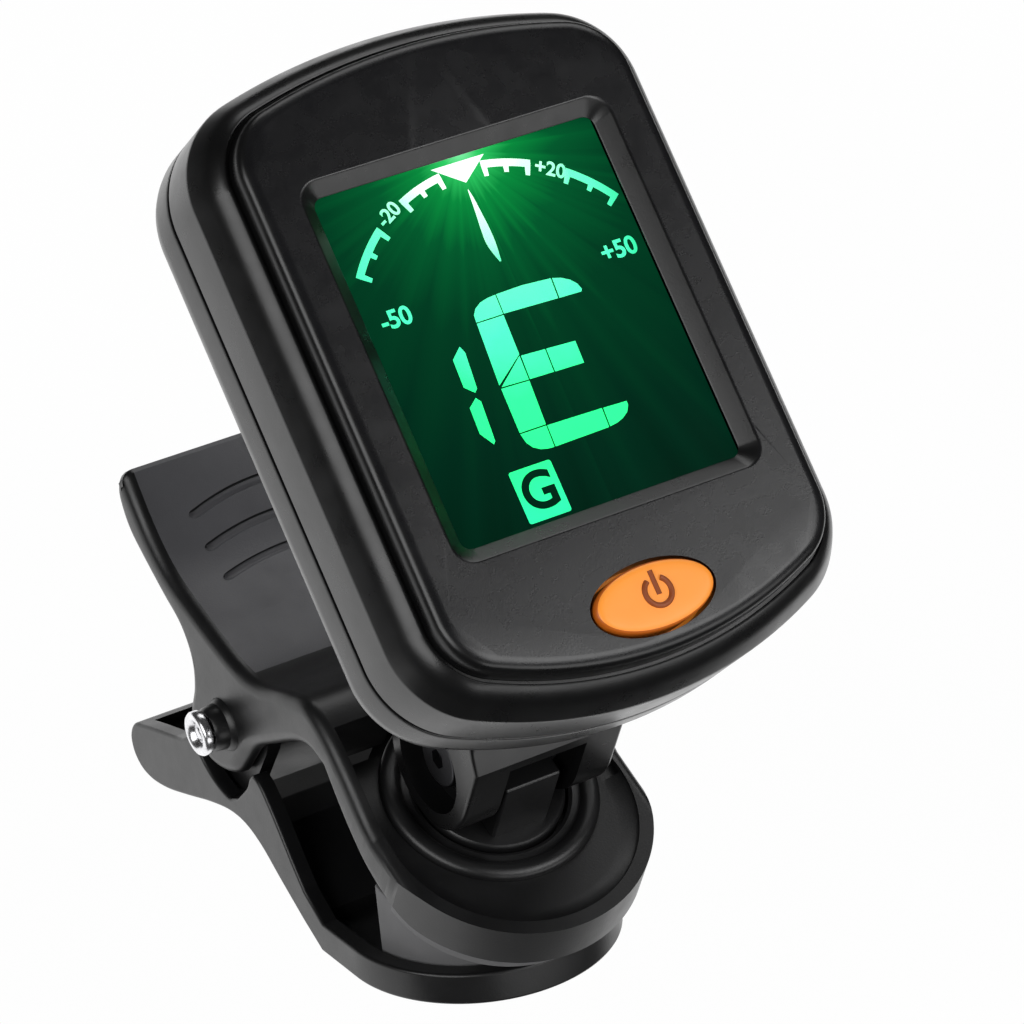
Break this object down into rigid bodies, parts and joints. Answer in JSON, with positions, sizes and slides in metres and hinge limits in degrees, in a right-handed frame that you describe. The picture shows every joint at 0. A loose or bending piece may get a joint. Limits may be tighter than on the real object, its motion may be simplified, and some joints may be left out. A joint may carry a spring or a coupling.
{
  "type": "clip-on instrument tuner",
  "caption": "Clip-on chromatic tuner: arched-end display head with backlit dial and orange power button, on a tilting and swivelling neck over a sprung clip.",
  "frame": {"origin": "middle of the flat grip face under the upper jaw pad", "axes": "+Z along the swivel axis, away from the gripped edge; +Y from the jaw tips towards the squeeze handles; X along the clip's pivot pin"},
  "size_m": [0.0402, 0.0582, 0.0858],
  "materials": {
    "black_abs": "fine satin texture",
    "pad_rubber": "matte, soft",
    "chrome": "polished",
    "spring_steel": "drawn wire",
    "steel": "plated",
    "dark_steel": "black oxide",
    "window": "clear, hard coated",
    "lcd_glass": "backlit dark green",
    "diffuser": "frosted",
    "led": "frosted",
    "circuit_board": "solder mask",
    "chip_black": "moulded",
    "brass": "satin",
    "cell_steel": "satin",
    "contact_nickel": "plated",
    "orange_plastic": "satin"
  },
  "bodies": {
    "upper_clip": {"upper_arm": "black_abs", "upper_jaw_pad": "pad_rubber", "pivot_pin": "chrome", "pin_retainer": "chrome", "torsion_spring": "spring_steel", "swivel_collar": "black_abs"},
    "lower_clip": {"lower_arm": "black_abs", "lower_jaw_pad": "pad_rubber"},
    "swivel_foot": {"swivel_base": "black_abs", "swivel_washer": "steel", "swivel_screw": "steel"},
    "head": {"hinge_axle": "dark_steel", "hinge_nut": "dark_steel", "hinge_washer_left": "steel", "hinge_washer_right": "steel", "rear_shell": "black_abs", "front_shell": "black_abs", "case_screw_1": "steel", "case_screw_2": "steel", "case_screw_3": "steel", "case_screw_4": "steel", "display_window": "window", "lcd_panel": "lcd_glass", "backlight_guide": "diffuser", "backlight_led": "led", "zebra_connector": "pad_rubber", "circuit_board": "circuit_board", "tuner_chip": "chip_black", "crystal_can": "steel", "tact_switch": "steel", "piezo_sensor": "brass", "coin_cell": "cell_steel", "battery_contact_negative": "contact_nickel", "battery_contact_positive": "contact_nickel"},
    "button": {"power_button": "orange_plastic", "switch_plunger": "chip_black"},
    "door": {"battery_door": "black_abs"}
  },
  "joints": [
    {"name": "clip_open", "type": "hinge", "parent": "upper_clip", "child": "lower_clip", "pos_m": [0, 0.0283, -0.00385], "axis": [1, 0, 0], "range_deg": [0, 30], "stiffness_Nm_per_rad": 0.08, "springref_deg": -34.38, "deforming": ["torsion_spring"]},
    {"name": "head_swivel", "type": "hinge", "parent": "upper_clip", "child": "swivel_foot", "pos_m": [0, 0.0075, 0.00735], "axis": [0, 0, 1], "continuous": true},
    {"name": "head_tilt", "type": "hinge", "parent": "swivel_foot", "child": "head", "pos_m": [0, 0.0079, 0.01365], "axis": [1, 0, 0], "range_deg": [-40, 60]},
    {"name": "button_press", "type": "slide", "parent": "head", "child": "button", "axis": [0, 0.3827, -0.9239], "range_m": [0, 0.0004], "stiffness_N_per_m": 600, "springref_m": -0.001},
    {"name": "door_turn", "type": "hinge", "parent": "head", "child": "door", "pos_m": [0, 0.03094, 0.04271], "axis": [0, 0.3827, -0.9239], "range_deg": [0, 40]}
  ]
}
